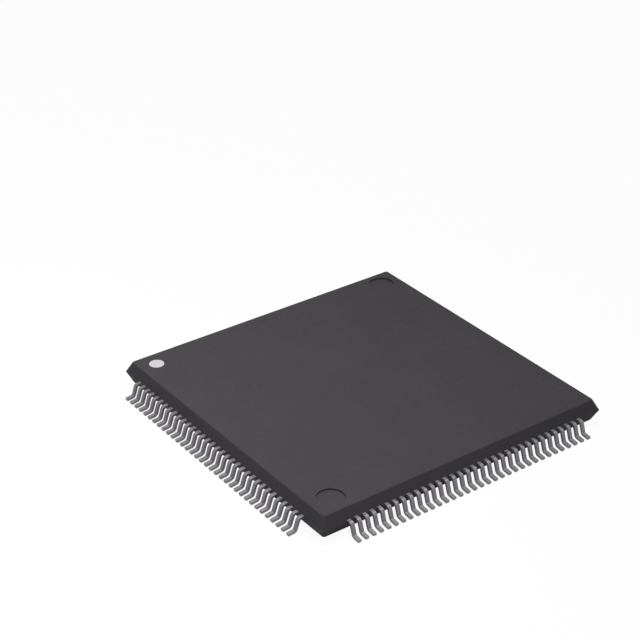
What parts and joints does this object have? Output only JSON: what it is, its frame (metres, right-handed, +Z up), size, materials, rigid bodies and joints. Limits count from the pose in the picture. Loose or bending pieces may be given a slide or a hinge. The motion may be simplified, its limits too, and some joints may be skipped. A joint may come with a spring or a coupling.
{
  "type": "microcontroller chip",
  "caption": "Square low-profile quad flat pack: a dark moulded epoxy body with gull-wing leads along every side, a dot beside the first lead, and a wire-bonded die on a lead frame inside.",
  "frame": {"origin": "centre of the square body, on the plane that the leads' feet stand on", "axes": "+Z up through the top face, X and Y square to the body's sides, the dot at the -X, +Y corner"},
  "size_m": [0.022, 0.022, 0.0015],
  "materials": {
    "mould_epoxy": "finely matt moulded epoxy",
    "print_ink": "matt print",
    "lead_plating": "matt tin plating on copper alloy",
    "frame_copper": "bare rolled copper alloy",
    "frame_tape": "clear amber film",
    "die_adhesive": "silver-filled adhesive",
    "silicon": "polished silicon",
    "wire_gold": "drawn gold wire"
  },
  "bodies": {
    "root": {"package_body": "mould_epoxy", "pin_one_dot": "print_ink", "leads_right": "lead_plating", "leads_back": "lead_plating", "leads_left": "lead_plating", "leads_front": "lead_plating", "die_pad": "frame_copper", "lead_tape": "frame_tape", "die_attach": "die_adhesive", "silicon_die": "silicon", "bond_wires_right": "wire_gold", "bond_wires_back": "wire_gold", "bond_wires_left": "wire_gold", "bond_wires_front": "wire_gold"}
  },
  "joints": []
}
